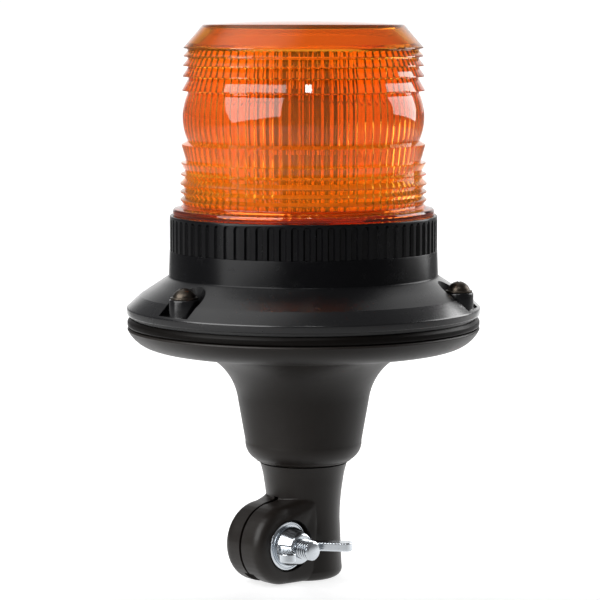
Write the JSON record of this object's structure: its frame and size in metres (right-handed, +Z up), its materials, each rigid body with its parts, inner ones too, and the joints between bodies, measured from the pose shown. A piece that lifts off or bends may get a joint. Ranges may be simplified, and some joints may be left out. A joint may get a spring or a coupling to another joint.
{
  "type": "rotating beacon",
  "caption": "Pole-mounted amber warning beacon with a prismatic drum lens on a ribbed base, a flexible rubber neck and a split clamp drawn up by a wing nut.",
  "frame": {"origin": "centre of the pole socket's mouth, at the bottom of the clamp", "axes": "+Z up along the pole towards the lens; -X towards the clamp's split ear; -Y towards the free end of the clamp bolt"},
  "size_m": [0.1448, 0.1448, 0.2282],
  "materials": {
    "clamp_plastic": "matt grained, warm dark grey",
    "mount_rubber": "matt rubber, warm dark grey",
    "zinc": "bright zinc plated",
    "dark_steel": "dark passivated steel",
    "base_plastic": "semi-gloss near-black plastic",
    "gasket_rubber": "matt black rubber",
    "seal_rubber": "matt black rubber",
    "liner_plastic": "natural low-friction plastic",
    "contact_brass": "plain brass",
    "carrier_plastic": "moulded black insulator",
    "lead_jacket": "insulated lead",
    "board_laminate": "green laminate",
    "chip_plastic": "moulded black packages",
    "can_metal": "sleeved metal can",
    "terminal_plastic": "green terminal block",
    "tower_metal": "dark anodised aluminium",
    "strip_laminate": "white laminate",
    "emitter_resin": "clear resin over yellow phosphor",
    "reflector_plastic": "bright white reflector",
    "lens_amber": "clear amber, prismatic"
  },
  "bodies": {
    "clamp": {"clamp_body": "clamp_plastic", "clamp_bolt": "zinc", "contact_carrier": "carrier_plastic", "centre_contact": "contact_brass", "earth_contact": "contact_brass", "socket_leads": "lead_jacket"},
    "washer": {"clamp_washer": "zinc"},
    "nut": {"wing_nut": "zinc"},
    "flex": {"flex_liner": "liner_plastic"},
    "beacon": {"flexible_mount": "mount_rubber", "thread_inserts": "contact_brass", "base_gasket": "gasket_rubber", "base_housing": "base_plastic", "base_screws": "dark_steel", "screw_washers": "dark_steel", "driver_board": "board_laminate", "board_screws": "dark_steel", "terminal_block": "terminal_plastic", "capacitors": "can_metal", "inductor": "chip_plastic", "driver_chips": "chip_plastic", "beacon_leads": "lead_jacket", "light_tower": "tower_metal", "emitter_boards": "strip_laminate", "emitters": "emitter_resin", "tower_cap": "tower_metal", "cap_screw": "dark_steel", "reflector_dish": "reflector_plastic", "lens_seal": "seal_rubber"},
    "lens": {"lens": "lens_amber"}
  },
  "joints": [
    {"name": "washer_slide", "type": "slide", "parent": "clamp", "child": "washer", "axis": [0, -1, 0], "range_m": [0, 0.00375]},
    {"name": "wing_nut_turn", "type": "hinge", "parent": "washer", "child": "nut", "pos_m": [-0.0193, -0.0115, 0.0164], "axis": [0, -1, 0], "range_deg": [0, 1080]},
    {"name": "neck_bend_x", "type": "hinge", "parent": "clamp", "child": "flex", "pos_m": [0, 0, 0.04], "axis": [1, 0, 0], "range_deg": [-15, 15], "stiffness_Nm_per_rad": 12},
    {"name": "neck_bend_y", "type": "hinge", "parent": "flex", "child": "beacon", "pos_m": [0, 0, 0.04], "axis": [0, 1, 0], "range_deg": [-15, 15], "stiffness_Nm_per_rad": 12},
    {"name": "lens_twist", "type": "hinge", "parent": "beacon", "child": "lens", "pos_m": [0, 0, 0.1495], "axis": [0, 0, 1], "range_deg": [0, 30]}
  ],
  "couplings": [
    {"joint": "washer_slide", "follows": "wing_nut_turn", "m_per_rad": 0.00019894}
  ]
}
